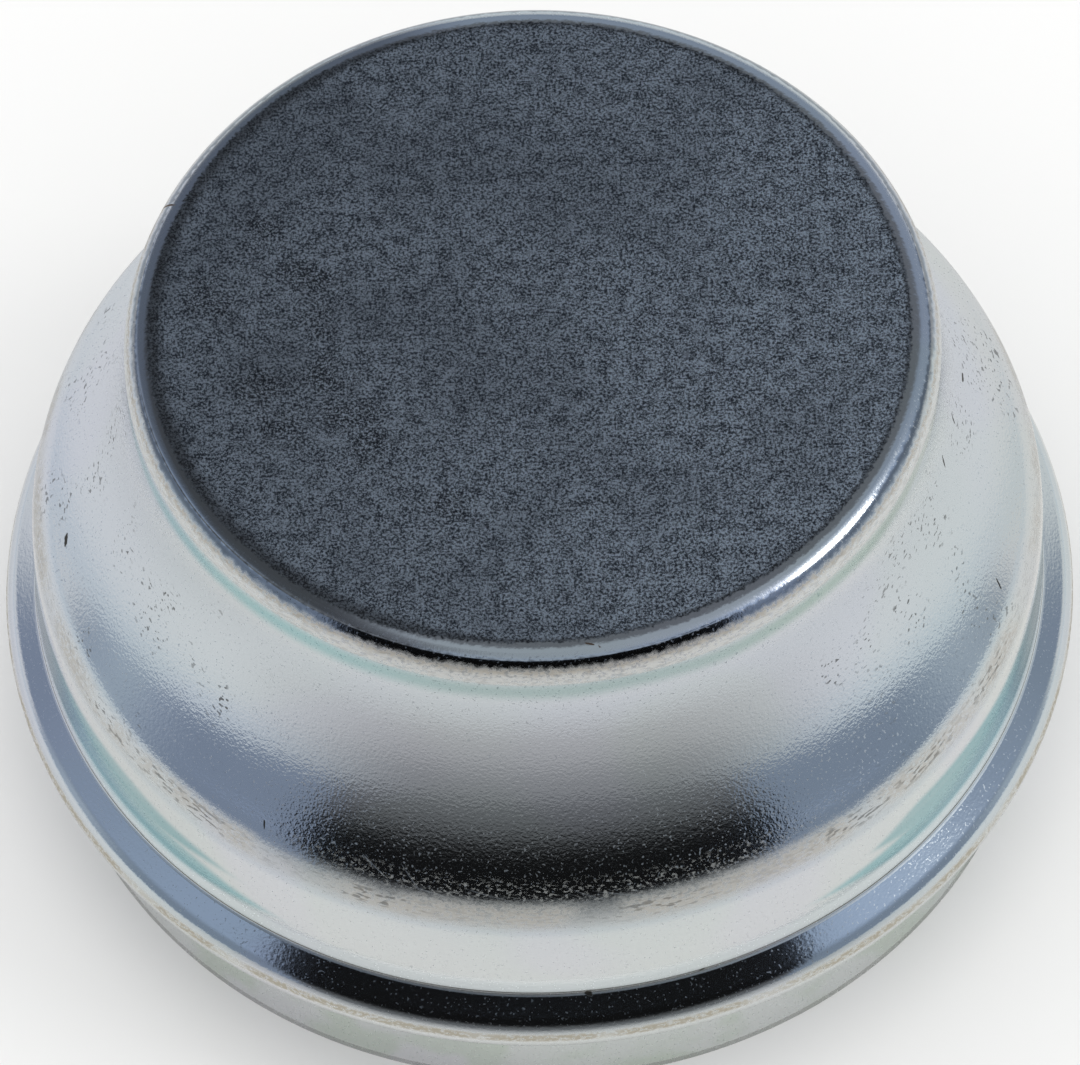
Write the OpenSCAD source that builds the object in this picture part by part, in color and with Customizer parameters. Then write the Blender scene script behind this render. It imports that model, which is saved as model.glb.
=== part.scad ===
// Hub grease cap: one cup drawn from zinc-plated steel sheet.
// Millimetres, +Z up. It stands on its open mouth, with the origin at the mouth's centre.
// The wall is one sheet of even thickness, turned round the Z axis. Its section runs from
// the closed end over a rounded corner, down a flared shoulder and a slightly tapered
// body, and out round a stop bead to the skirt that is pressed into the hub.

/* [Sheet] */
// Thickness of the steel sheet
sheet_t = 1; // [0.6:0.1:1.3]

/* [Press-in skirt] */
// Outside diameter of the skirt that is pressed into the hub's bore
skirt_d = 50.3; // [47:0.1:52]
// Length of its straight wall, from the mouth to the crease under the bead
skirt_l = 4.8; // [3:0.1:8]

/* [Stop bead] */
// How far the bead stands out from the foot of the body's wall above it
bead_out = 1.6; // [1.2:0.05:3]
// Outside radius of the bead's round nose
bead_r = 1.5; // [1.4:0.1:1.9]
// Angle at which the bead's two sloping faces leave the upright walls
bead_lean = 55; // [50:1:75]
// Outside radius of the creases above and below the bead
crease_r = 0.2; // [0.1:0.05:0.6]

/* [Body] */
// How much further out the foot of the wall above the bead stands than the skirt
body_step = 0.25; // [-0.5:0.05:0.8]
// Length of that wall, from the crease over the bead to the shoulder
wall_l = 4.8; // [3:0.1:8]
// Angle by which that wall leans in towards the shoulder, as drawn bodies do
wall_draft = 2.5; // [0:0.5:8]
// Outside radius of the rounded shoulder
shoulder_r = 4; // [2.5:0.1:6]

/* [Closed end] */
// Outside diameter of the closed end
end_d = 39.4; // [34:0.1:42]
// Outside radius of the corner round the closed end
corner_r = 1.4; // [1.2:0.1:3]
// Length of the straight neck under the rounded corner
neck_l = 1.1; // [0.2:0.1:2]
// Height of the whole cap, from the mouth to the closed end
overall_h = 29.2; // [27:0.1:36]

/* [Hidden] */

// Largest turn of the section between two points of a round stretch, in degrees
facet_a = 5;
turn_facets = 144;

zinc = [0.74, 0.77, 0.79];

skirt_x = skirt_d / 2;
body_x = skirt_x + body_step;
end_x = end_d / 2;

// Distance of the bead's round nose from the axis, to the middle of its round
bead_x = body_x + bead_out - bead_r;

// Distances from the axis to the middles of the rounds in the two creases
lower_x = skirt_x + crease_r;
upper_x = body_x + crease_r * cos(wall_draft);

// Height between the nose's middle and a crease's middle: the sloping face between
// them touches both rounds
function crease_rise(crease_x) =
    (bead_r + crease_r - (crease_x - bead_x) * cos(bead_lean)) / sin(bead_lean);
bead_z = skirt_l + crease_rise(lower_x);
upper_z = bead_z + crease_rise(upper_x);

// Middle of the rounded corner, and the neck's lower end, where the flare starts
corner_x = end_x - corner_r;
corner_z = overall_h - corner_r;
neck_z = corner_z - neck_l;

// Middle of the shoulder's round, which the top of the leaning wall touches
shoulder_x = body_x - wall_l * sin(wall_draft) - shoulder_r * cos(wall_draft);
shoulder_z = upper_z - crease_r * sin(wall_draft) + wall_l * cos(wall_draft)
    - shoulder_r * sin(wall_draft);

// The flare is a hollow round that leaves the neck upright and meets the shoulder's
// round without a break. That fixes its radius, and the angle at which they meet.
rise = neck_z - shoulder_z;
inset = end_x - shoulder_x;
flare_r = (inset ^ 2 + rise ^ 2 - shoulder_r ^ 2) / (2 * (shoulder_r - inset));
flare_x = end_x + flare_r;
meet_a = atan2(rise, flare_x - shoulder_x);

// Points of a round stretch, from one angle to another
function round_run(x, z, r, start, end) =
    let (steps = ceil(abs(end - start) / facet_a))
    [for (i = [0 : steps])
        let (a = start + (end - start) * i / steps)
        [x + r * cos(a), z + r * sin(a)]];

// One face of the sheet, from the axis to the mouth, at a depth below the outer face.
// Rounds that bulge outwards lose the depth from their radius, and hollow ones gain it.
function sheet_face(depth) = concat(
    [[0, overall_h - depth]],
    round_run(corner_x, corner_z, corner_r - depth, 90, 0),
    round_run(flare_x, neck_z, flare_r + depth, 180, 180 + meet_a),
    round_run(shoulder_x, shoulder_z, shoulder_r - depth, meet_a, wall_draft),
    round_run(upper_x, upper_z, crease_r + depth, 180 + wall_draft, 180 + bead_lean),
    round_run(bead_x, bead_z, bead_r - depth, bead_lean, -bead_lean),
    round_run(lower_x, skirt_l, crease_r + depth, 180 - bead_lean, 180),
    [[skirt_x - depth, 0]]
);

function backwards(points) = [for (i = [len(points) - 1 : -1 : 0]) points[i]];

// Section of the sheet, between its outer and its inner face
module sheet_section() {
    polygon(concat(sheet_face(0), backwards(sheet_face(sheet_t))));
}

// The whole cap, as its section turned once round
module grease_cap() {
    color(zinc)
        rotate_extrude($fn = turn_facets)
            sheet_section();
}

grease_cap();
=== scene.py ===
"""Hub grease cap: the drawn sheet cup with its plated finish, on a plain pale floor."""
import math

import bpy
from mathutils import Matrix, Vector


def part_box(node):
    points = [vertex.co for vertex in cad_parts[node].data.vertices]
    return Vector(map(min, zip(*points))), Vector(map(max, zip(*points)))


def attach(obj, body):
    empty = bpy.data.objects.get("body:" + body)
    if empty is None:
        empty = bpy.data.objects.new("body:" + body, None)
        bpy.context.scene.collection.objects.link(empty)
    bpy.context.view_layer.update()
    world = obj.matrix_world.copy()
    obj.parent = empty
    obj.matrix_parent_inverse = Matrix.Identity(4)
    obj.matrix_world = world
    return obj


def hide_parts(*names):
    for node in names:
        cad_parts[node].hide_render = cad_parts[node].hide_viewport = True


bl_info = {
    "name": "Hub Grease Cap",
    "version": (1, 0, 0),
    "blender": (4, 5, 0),
    "location": "3D Viewport > Sidebar > Grease Cap",
    "description": "Builds a pressed hub grease cap, its zinc finish and a plain stage",
    "category": "Object",
}

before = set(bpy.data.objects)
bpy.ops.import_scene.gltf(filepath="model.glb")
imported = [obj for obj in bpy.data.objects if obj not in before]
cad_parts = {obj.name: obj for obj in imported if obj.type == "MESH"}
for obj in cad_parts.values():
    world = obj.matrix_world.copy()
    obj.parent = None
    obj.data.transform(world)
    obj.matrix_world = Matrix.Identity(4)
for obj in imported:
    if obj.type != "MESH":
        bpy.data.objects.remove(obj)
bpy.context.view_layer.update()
CAP_LOW, CAP_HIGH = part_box("grease_cap")
CAD_HEIGHT = CAP_HIGH.z - CAP_LOW.z

MM = 0.001
PI = math.pi

# How far the closed end's material reaches past the flat, along the run in mm
END_REACH = 0.78
# Where the corner's smooth band ends and its scuffs begin, past the flat, in mm
BAND_END = 1.08
# Radius in mm at which the sheet is unrolled for its patterns
UNROLLED_R = 22.0

# Divisions of each stretch of the sheet's section, on its outer face
STEPS = {"end": 60, "corner": 24, "neck": 4, "flare": 36, "shoulder": 22, "wall": 6,
         "crease": 8, "nose": 28, "foot": 8, "skirt": 8}
# Share of those divisions on the inner face
INNER_SHARE = 0.25
# Points nearer than this are one, in metres
WELD = 1e-7
# Scale of the drawn wall's ripple, per metre, and half width of the ring in the end
RIPPLE_SCALE = 140.0
RING_HALF = 0.45 * MM

# Stretches of the run in mm past the end of the flare: where the shoulder is worn, and
# where its scratches lie thickest
SHOULDER_WORN = (0.9, 2.2)
SHOULDER_SCRATCHED = (1.1, 2.0)
# Stretch past the start of the bead's nose where it is worn
NOSE_WORN = (0.92, 1.45)
# Height of the bright bends' lumps, and the run over which they rise, in mm
LUMPS_HEIGHT = 0.011
LUMPS_RISE = 0.3
# Fewer faces than this mean that the sheet wasn't made
LEAST_FACES = 1000

# Stretches of the turn about the axis, in degrees from the front: from, to, softness
DULL_REACHES_OUT = (-150.0, -14.0, 12.0)
BAND_SHADED = (-165.0, -24.0, 9.0)
BAND_STEPPED = (-84.0, -26.0, 9.0)
LILAC_SIDE = (-125.0, -64.0, 16.0)
CREAMY_SIDE = (62.0, 150.0, 16.0)
NECK_FILM_SAGS = (-110.0, -44.0, 14.0)
FILM_AT_EDGES = (71.0, 92.0, 8.0)
# Turns over which a painted highlight lies along the end's pressed ring
RING_HIGHLIT_TURNS = (30.0, 140.0, 14.0)
DUST_SHOWS = (-26.0, 30.0, 14.0)

# Heights over the wall's foot of its upper and lower tongues of film, in mm
UPPER_TONGUE = 3.0
LOWER_TONGUE = 1.62
# The tongues: turn at the tip, turn at full width, height, and half width in mm
FILM_TONGUES = ((-31.0, -58.0, UPPER_TONGUE, 1.1), (-25.0, -52.0, LOWER_TONGUE, 1.0),
                (36.0, 47.0, UPPER_TONGUE, 1.05), (25.0, 50.0, LOWER_TONGUE, 0.95))

# Colours beside those of CapFinish: tints of the plate
SEA_TINT = (0.79, 0.835, 0.825)
VIOLET_TINT = (0.80, 0.815, 0.86)
LILAC_TINT = (0.79, 0.80, 0.875)
CREAM_TINT = (0.84, 0.835, 0.76)
# Thick film, in the neck and then low on the wall
NECK_FILM_FRONT = (0.50, 0.62, 0.60)
NECK_FILM_FAR_RIGHT = (0.80, 0.80, 0.68)
WALL_FILM_FRONT = (0.35, 0.565, 0.59)
WALL_FILM_SIDE = (0.22, 0.48, 0.53)
WALL_FILM_FOOT = (0.38, 0.61, 0.64)
WALL_FILM_EDGE = (0.0, 0.055, 0.055)
SKIRT_STAIN = (0.60, 0.72, 0.58)
# Wear and dirt, and painted light where it is marked
TAN_SCUFF = (0.36, 0.315, 0.25)
PALE_SCUFF = (0.60, 0.605, 0.585)
BEAD_SCUFF = (0.40, 0.37, 0.30)
# Painted light: a pale band on the wall's foot that lifts the shade under the bead
FOOT_PAINTED_LIGHT = (0.62, 0.66, 0.665)
DUST = (0.20, 0.19, 0.17)
SMUDGE = (0.05, 0.05, 0.052)
RIM_DIRT = (0.060, 0.056, 0.052)
# Painted highlights: glints on the closed end, and the light line along its pressed ring
GLINT = (0.72, 0.76, 0.82)
RING_HIGHLIGHT = (0.55, 0.60, 0.66)
# The inside
INSIDE_PLATE = (0.60, 0.63, 0.65)
INSIDE_CLOUD = (0.52, 0.55, 0.55)
INSIDE_SPECK = (0.36, 0.37, 0.37)


# Node helpers

def wire(tree, value, socket):
    """Joins a socket to another one, or sets it to a plain value."""
    if isinstance(value, bpy.types.NodeSocket):
        tree.links.new(value, socket)
    else:
        socket.default_value = value


def add(tree, kind, *values, **settings):
    """Adds one node; plain values and sockets fill its inputs in order."""
    node = tree.nodes.new(kind)
    for name, value in settings.items():
        setattr(node, name, value)
    for socket, value in zip([s for s in node.inputs if s.enabled], values):
        wire(tree, value, socket)
    return node


def named(tree, kind, inputs, **settings):
    """Adds one node and fills the inputs that the dictionary names."""
    node = tree.nodes.new(kind)
    for name, value in settings.items():
        setattr(node, name, value)
    for name, value in inputs.items():
        wire(tree, value, node.inputs[name])
    return node


def sums(tree, operation, *values):
    """A Math node's result."""
    return add(tree, "ShaderNodeMath", *values, operation=operation).outputs[0]


def vector(tree, operation, *values):
    """A Vector Math node's result, which is a vector or a number."""
    node = add(tree, "ShaderNodeVectorMath", *values, operation=operation)
    return [s for s in node.outputs if s.enabled][0]


def scaled(tree, arrow, size):
    """A vector times a number."""
    node = named(tree, "ShaderNodeVectorMath", {"Scale": size}, operation="SCALE")
    wire(tree, arrow, node.inputs[0])
    return node.outputs["Vector"]


def ease(tree, value, low, high, to_low=0.0, to_high=1.0, kind="SMOOTHSTEP"):
    """A soft step as a value goes from low to high."""
    node = named(tree, "ShaderNodeMapRange", {
        "Value": value, "From Min": low, "From Max": high,
        "To Min": to_low, "To Max": to_high}, interpolation_type=kind)
    return node.outputs[0]


def window(tree, value, low, high, soft):
    """One inside a span of values and zero outside it, with soft ends."""
    rise = ease(tree, value, low - soft, low + soft)
    fall = ease(tree, value, high - soft, high + soft, 1.0, 0.0)
    return sums(tree, "MULTIPLY", rise, fall)


def blend(tree, factor, first, second):
    """Mixes two colours, each a socket or three plain values."""
    node = tree.nodes.new("ShaderNodeMix")
    node.data_type = "RGBA"
    wire(tree, factor, node.inputs[0])
    for value, socket in ((first, node.inputs[6]), (second, node.inputs[7])):
        if not isinstance(value, bpy.types.NodeSocket):
            value = (*value, 1.0)
        wire(tree, value, socket)
    return node.outputs[2]


def mix_value(tree, factor, first, second):
    """Mixes two numbers."""
    node = tree.nodes.new("ShaderNodeMix")
    node.data_type = "FLOAT"
    wire(tree, factor, node.inputs[0])
    wire(tree, first, node.inputs[2])
    wire(tree, second, node.inputs[3])
    return node.outputs[0]


def noise(tree, where, scale, detail, rough=0.5):
    """Noise between 0 and 1, around one half."""
    node = named(tree, "ShaderNodeTexNoise", {
        "Vector": where, "Scale": scale, "Detail": detail, "Roughness": rough})
    return node.outputs[0]


def turn_about(tree, parts):
    """Turn about the Z axis in degrees, which is zero in front, where Y is lowest."""
    back = sums(tree, "MULTIPLY", parts["Y"], -1.0)
    return sums(tree, "DEGREES", sums(tree, "ARCTAN2", parts["X"], back))


def new_tree(name, kind, inputs, outputs):
    """An empty node group with named sockets."""
    tree = bpy.data.node_groups.new(name, kind)
    for label, socket, default in inputs:
        item = tree.interface.new_socket(label, in_out="INPUT", socket_type=socket)
        if default is not None:
            item.default_value = default
    for label, socket in outputs:
        tree.interface.new_socket(label, in_out="OUTPUT", socket_type=socket)
    return tree, tree.nodes.new("NodeGroupInput"), tree.nodes.new("NodeGroupOutput")


# Properties

def a_length(name, about, size):
    """A length in metres, for the panel."""
    return bpy.props.FloatProperty(
        name=name, description=about, default=size, unit="LENGTH")


def an_angle(name, about, size):
    """An angle in radians, for the panel."""
    return bpy.props.FloatProperty(
        name=name, description=about, default=size, subtype="ANGLE")


def a_colour(name, about, shade):
    """A colour, for the panel."""
    return bpy.props.FloatVectorProperty(
        name=name, description=about, subtype="COLOR", default=shade, min=0, max=1)


def a_number(name, about, size, most=1):
    """A number from zero up to a limit, for the panel."""
    return bpy.props.FloatProperty(
        name=name, description=about, default=size, min=0, max=most)


class CapSizes(bpy.types.PropertyGroup):
    """Sizes of the sheet cup's section."""

    sheet_t: a_length("Sheet", "Thickness of the steel sheet", 1.0 * MM)
    skirt_d: a_length("Skirt diameter", "Outside diameter of the press-in skirt", 50.3 * MM)
    skirt_l: a_length("Skirt length", "Straight wall of the skirt, mouth to crease", 4.8 * MM)
    bead_out: a_length("Bead stand-out", "How far the bead stands out from the body", 1.6 * MM)
    bead_r: a_length("Bead nose", "Outside radius of the bead's round nose", 1.5 * MM)
    bead_lean: an_angle("Bead lean", "Angle between the bead's faces and the walls",
                        math.radians(55))
    crease_r: a_length("Crease", "Outside radius of the creases beside the bead", 0.2 * MM)
    body_step: a_length("Body step", "How much further out the body's foot stands", 0.25 * MM)
    wall_draft: an_angle("Wall draft", "Lean of the body's wall towards the shoulder",
                         math.radians(2.5))
    wall_l: a_length("Wall length", "Straight wall from the crease to the shoulder", 4.8 * MM)
    shoulder_r: a_length("Shoulder", "Outside radius of the rounded shoulder", 4.0 * MM)
    end_d: a_length("End diameter", "Outside diameter of the closed end", 39.4 * MM)
    corner_r: a_length("Corner", "Outside radius of the corner round the end", 1.4 * MM)
    neck_l: a_length("Neck", "Straight neck under the corner", 1.1 * MM)
    overall_h: a_length("Height", "From the mouth to the closed end", CAD_HEIGHT)
    turns: bpy.props.IntProperty(
        name="Divisions", description="Divisions of the mesh round the axis", default=360)
    ring_r: a_length("Ring radius", "Radius of the faint ring pressed in the end", 10.45 * MM)
    ring_depth: a_length("Ring depth", "Depth of the faint pressed ring", 0.02 * MM)
    ripple: a_length("Ripple", "Height of the slow ripple that drawing leaves", 0.012 * MM)


class CapFinish(bpy.types.PropertyGroup):
    """Colours and gloss of the plated sheet."""

    plate: a_colour("Plate", "Colour of the clean zinc plate", (0.80, 0.835, 0.835))
    dull_end: a_colour("Dull end", "Colour of the dull closed end", (0.86, 0.925, 0.975))
    # The pits colour is also laid as painted shade: over the end's left and back, on the
    # corner band's left side, and in the groove under that band
    pits_and_shade: a_colour("Pits", "Colour of the end's fine pits and smudges", (0.075, 0.082, 0.092))
    teal: a_colour("Teal film", "Colour of the thick film in the neck and wall",
                   (0.42, 0.665, 0.67))
    green: a_colour("Green film", "Colour of the film on the cap's right side",
                    (0.48, 0.605, 0.55))
    scuff: a_colour("Scuff", "Colour of the scuffed bends", (0.47, 0.45, 0.41))
    # Scratches and caught dirt, and the upper crease's dark line, which is partly painted
    # shade
    grime_and_shade: a_colour("Grime", "Colour of the scratches and caught dirt", (0.10, 0.09, 0.075))
    rust: a_colour("Rust", "Colour of the small rusty ticks", (0.24, 0.17, 0.12))
    gloss: a_number("Plate roughness", "Roughness of the clean plate", 0.115)
    dull_rough: a_number("End roughness", "Roughness of the dull closed end", 0.40)
    peel: a_number("Orange peel", "Height of the drawn sheet's fine bumps, in mm", 0.012, 0.1)
    grain: a_number("End grain", "Height of the closed end's fine grain, in mm", 0.018, 0.1)


class CapStage(bpy.types.PropertyGroup):
    """Floor, light and camera."""

    floor: a_colour("Floor", "Colour of the floor", (0.82, 0.82, 0.815))
    distance: a_length("Camera distance", "From the camera to the crease's centre", 0.3577)
    pitch: an_angle("Camera height", "Angle of the camera above the floor", 0.9881)
    roll: an_angle("Camera roll", "Turn of the camera about its own axis", -0.0279)


# The sheet

def round_run(x, z, r, start, end, steps):
    """Points of a round stretch of the section, between two angles in degrees."""
    spots = []
    for i in range(steps + 1):
        a = math.radians(start + (end - start) * i / steps)
        spots.append((x + r * math.cos(a), z + r * math.sin(a)))
    return spots


def straight(start, end, steps):
    """Points of a straight stretch, without its two ends."""
    return [(start[0] + (end[0] - start[0]) * i / steps,
             start[1] + (end[1] - start[1]) * i / steps) for i in range(1, steps)]


def section(s, depth, fine):
    """One face of the sheet from the axis to the mouth, and marks along its run.

    A point is its distance from the axis, its height and its run, in metres. The marks are
    the runs in mm where each stretch starts and ends.
    """
    lean, draft = math.degrees(s.bead_lean), math.degrees(s.wall_draft)
    skirt_x = s.skirt_d / 2
    body_x = skirt_x + s.body_step
    end_x = s.end_d / 2
    bead_x = body_x + s.bead_out - s.bead_r
    lower_x = skirt_x + s.crease_r
    upper_x = body_x + s.crease_r * math.cos(s.wall_draft)

    def crease_rise(crease_x):
        reach = (crease_x - bead_x) * math.cos(s.bead_lean)
        return (s.bead_r + s.crease_r - reach) / math.sin(s.bead_lean)

    bead_z = s.skirt_l + crease_rise(lower_x)
    upper_z = bead_z + crease_rise(upper_x)
    corner = (end_x - s.corner_r, s.overall_h - s.corner_r)
    neck_z = corner[1] - s.neck_l
    tilt_x, tilt_z = math.cos(s.wall_draft), math.sin(s.wall_draft)
    shoulder_x = body_x - s.wall_l * tilt_z - s.shoulder_r * tilt_x
    shoulder_z = (upper_z - s.crease_r * tilt_z + s.wall_l * tilt_x
                  - s.shoulder_r * tilt_z)
    rise = neck_z - shoulder_z
    inset = end_x - shoulder_x
    flare_r = ((inset ** 2 + rise ** 2 - s.shoulder_r ** 2)
               / (2 * (s.shoulder_r - inset)))
    flare_x = end_x + flare_r
    meet = math.degrees(math.atan2(rise, flare_x - shoulder_x))

    steps = {name: max(2, round(count * fine)) for name, count in STEPS.items()}
    corner_run = round_run(*corner, s.corner_r - depth, 90, 0, steps["corner"])
    flare_run = round_run(flare_x, neck_z, flare_r + depth, 180, 180 + meet,
                          steps["flare"])
    shoulder_run = round_run(shoulder_x, shoulder_z, s.shoulder_r - depth,
                             meet, draft, steps["shoulder"])
    upper_run = round_run(upper_x, upper_z, s.crease_r + depth,
                          180 + draft, 180 + lean, steps["crease"])
    nose_run = round_run(bead_x, bead_z, s.bead_r - depth, lean, -lean, steps["nose"])
    lower_run = round_run(lower_x, s.skirt_l, s.crease_r + depth,
                          180 - lean, 180, steps["foot"])
    middle = (0.0, s.overall_h - depth)
    mouth = (skirt_x - depth, 0.0)
    stretches = {
        "end": [middle] + straight(middle, corner_run[0], steps["end"]),
        "corner": corner_run,
        "neck": straight(corner_run[-1], flare_run[0], steps["neck"]),
        "flare": flare_run,
        "shoulder": shoulder_run[1:],
        "wall": straight(shoulder_run[-1], upper_run[0], steps["wall"]) + upper_run[:1],
        "crease": upper_run[1:],
        "nose": nose_run,
        "foot": lower_run,
        "skirt": straight(lower_run[-1], mouth, steps["skirt"]) + [mouth],
    }
    points, marks, run = [], {}, 0.0
    for name, spots in stretches.items():
        for spot in spots:
            if points:
                run += math.dist(points[-1][:2], spot)
            if spot is spots[0]:
                marks[name + "_start"] = run / MM
            points.append((*spot, run))
        marks[name] = run / MM
    return points, marks


def section_mesh(s):
    """The whole section as loose points in order: outer face, then inner face."""
    outer, marks = section(s, 0.0, 1.0)
    inner, _ = section(s, s.sheet_t, INNER_SHARE)
    mesh = bpy.data.meshes.new("cap_section")
    points = [(x, z, run, 0.0) for x, z, run in outer]
    points += [(x, z, run, 1.0) for x, z, run in reversed(inner)]
    mesh.from_pydata([(x, 0.0, z) for x, z, _, _ in points], [], [])
    run = mesh.attributes.new("run", "FLOAT", "POINT")
    inside = mesh.attributes.new("inside", "FLOAT", "POINT")
    for i, point in enumerate(points):
        run.data[i].value = point[2] / MM
        inside.data[i].value = point[3]
    return mesh, outer, marks


def turned_sheet():
    """Geometry nodes that turn a section's points about Z into a closed sheet."""
    tree, given, out = new_tree("Turned Sheet", "GeometryNodeTree", [
        ("Section", "NodeSocketGeometry", None),
        ("Divisions", "NodeSocketInt", 360),
        ("Ring Radius", "NodeSocketFloat", 0.0),
        ("Ring Depth", "NodeSocketFloat", 0.0),
        ("Ripple", "NodeSocketFloat", 0.0),
        ("End Limit", "NodeSocketFloat", 0.0),
        ("End", "NodeSocketMaterial", None),
        ("Wall", "NodeSocketMaterial", None),
        ("Inside", "NodeSocketMaterial", None),
    ], [("Sheet", "NodeSocketGeometry")])
    section_in = given.outputs["Section"]
    size = named(tree, "GeometryNodeAttributeDomainSize", {"Geometry": section_in})
    count = size.outputs["Point Count"]
    across = sums(tree, "ADD", given.outputs["Divisions"], 1.0)
    grid = named(tree, "GeometryNodeMeshGrid", {
        "Size X": 1.0, "Size Y": 1.0, "Vertices X": across, "Vertices Y": count})
    index = tree.nodes.new("GeometryNodeInputIndex").outputs[0]
    step = sums(tree, "FLOOR", sums(tree, "DIVIDE", sums(tree, "ADD", index, 0.5), count))
    place = sums(tree, "SUBTRACT", index, sums(tree, "MULTIPLY", step, count))
    turn = sums(tree, "MULTIPLY", sums(tree, "DIVIDE", step, given.outputs["Divisions"]),
                2 * PI)

    def sampled(field, kind):
        node = tree.nodes.new("GeometryNodeSampleIndex")
        node.data_type = kind
        wire(tree, section_in, node.inputs["Geometry"])
        wire(tree, field, node.inputs["Value"])
        wire(tree, place, node.inputs["Index"])
        return node.outputs[0]

    def attribute(name):
        return named(tree, "GeometryNodeInputNamedAttribute", {"Name": name},
                     data_type="FLOAT").outputs["Attribute"]

    spot = sampled(tree.nodes.new("GeometryNodeInputPosition").outputs[0], "FLOAT_VECTOR")
    turned = named(tree, "ShaderNodeVectorRotate", {"Vector": spot, "Angle": turn},
                   rotation_type="Z_AXIS")
    shape = named(tree, "GeometryNodeSetPosition", {
        "Geometry": grid.outputs["Mesh"], "Position": turned.outputs[0]})
    geometry = shape.outputs[0]
    for name in ("run", "inside"):
        store = named(tree, "GeometryNodeStoreNamedAttribute", {
            "Geometry": geometry, "Name": name,
            "Value": sampled(attribute(name), "FLOAT")},
            data_type="FLOAT", domain="POINT")
        geometry = store.outputs[0]
    weld = named(tree, "GeometryNodeMergeByDistance", {
        "Geometry": geometry, "Distance": WELD})

    # Slow ripple of the drawn sheet, and the faint ring pressed in the closed end
    here = tree.nodes.new("GeometryNodeInputPosition").outputs[0]
    normal = tree.nodes.new("GeometryNodeInputNormal").outputs[0]
    slow = noise(tree, here, scale=RIPPLE_SCALE, detail=1.5)
    ripple = sums(tree, "MULTIPLY", sums(tree, "SUBTRACT", slow, 0.5),
                  sums(tree, "MULTIPLY", given.outputs["Ripple"], 2.0))
    run = sums(tree, "MULTIPLY", attribute("run"), MM)
    off = sums(tree, "ABSOLUTE", sums(tree, "SUBTRACT", run, given.outputs["Ring Radius"]))
    dip = ease(tree, off, 0.0, RING_HALF, 1.0, 0.0)
    outer = sums(tree, "SUBTRACT", 1.0, attribute("inside"))
    press = sums(tree, "MULTIPLY", sums(tree, "MULTIPLY", dip, given.outputs["Ring Depth"]),
                 outer)
    lift = sums(tree, "MULTIPLY", sums(tree, "SUBTRACT", ripple, press), outer)
    moved = named(tree, "GeometryNodeSetPosition", {
        "Geometry": weld.outputs[0], "Offset": scaled(tree, normal, lift)})
    smooth = named(tree, "GeometryNodeSetShadeSmooth", {"Geometry": moved.outputs[0]})
    real = named(tree, "GeometryNodeRealizeInstances", {"Geometry": smooth.outputs[0]})
    on_end = add(tree, "FunctionNodeCompare", attribute("run"),
                 given.outputs["End Limit"], operation="LESS_THAN").outputs[0]
    within = add(tree, "FunctionNodeCompare", attribute("inside"), 0.5,
                 operation="GREATER_THAN").outputs[0]
    geometry = real.outputs[0]
    for name, chosen in (("Wall", True), ("End", on_end), ("Inside", within)):
        geometry = named(tree, "GeometryNodeSetMaterial", {
            "Geometry": geometry, "Selection": chosen,
            "Material": given.outputs[name]}).outputs[0]
    wire(tree, geometry, out.inputs[0])
    return tree


def grow(mesh, name, tree, values):
    """Runs a geometry tree on a mesh and returns its result as a plain object."""
    seed = bpy.data.objects.new(name + "_seed", mesh)
    bpy.context.scene.collection.objects.link(seed)
    modifier = seed.modifiers.new("Shape", "NODES")
    modifier.node_group = tree
    for item in tree.interface.items_tree:
        if item.item_type == "SOCKET" and item.in_out == "INPUT" and item.name in values:
            modifier[item.identifier] = values[item.name]
    bpy.context.view_layer.update()
    ready = seed.evaluated_get(bpy.context.evaluated_depsgraph_get())
    plain = bpy.data.meshes.new_from_object(ready)
    plain.name = name
    bpy.data.objects.remove(seed)
    piece = bpy.data.objects.new(name, plain)
    bpy.context.scene.collection.objects.link(piece)
    return piece


# The finish

def short_dashes():
    """Group: short dashes, drawn out the way that the stretch is smallest."""
    tree, given, out = new_tree("Short Dashes", "ShaderNodeTree", [
        ("Place", "NodeSocketVector", None),
        ("Stretch", "NodeSocketVector", (1.0, 1.0, 1.0)),
        ("Scale", "NodeSocketFloat", 1.0), ("Cut", "NodeSocketFloat", 0.62),
    ], [("Mask", "NodeSocketFloat")])
    put = given.outputs
    drawn = vector(tree, "MULTIPLY", put["Place"], put["Stretch"])
    fine = noise(tree, drawn, scale=put["Scale"], detail=1.0, rough=0.6)
    dashes = ease(tree, sums(tree, "SUBTRACT", fine, put["Cut"]), -0.012, 0.035)
    wire(tree, dashes, out.inputs[0])
    return tree


def film_band():
    """Group: a band of film along the run, which thins out between two turns."""
    tree, given, out = new_tree("Film Band", "ShaderNodeTree", [
        ("Turn", "NodeSocketFloat", 0.0), ("Run", "NodeSocketFloat", 0.0),
        ("Turn From", "NodeSocketFloat", 0.0), ("Turn Full", "NodeSocketFloat", 0.0),
        ("Run At", "NodeSocketFloat", 0.0), ("Half Width", "NodeSocketFloat", 1.0),
        ("Soft", "NodeSocketFloat", 0.3),
    ], [("Mask", "NodeSocketFloat")])
    put = given.outputs
    share = ease(tree, put["Turn"], put["Turn From"], put["Turn Full"])
    wide = sums(tree, "MULTIPLY", put["Half Width"],
                sums(tree, "SUBTRACT", sums(tree, "MULTIPLY", share, 1.15), 0.15))
    off = sums(tree, "ABSOLUTE", sums(tree, "SUBTRACT", put["Run"], put["Run At"]))
    body = ease(tree, sums(tree, "SUBTRACT", off, wide),
                sums(tree, "MULTIPLY", put["Soft"], -1.0), put["Soft"], 1.0, 0.0)
    tip = ease(tree, share, 0.0, 0.3)
    wire(tree, sums(tree, "MULTIPLY", body, tip), out.inputs[0])
    return tree


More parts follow.
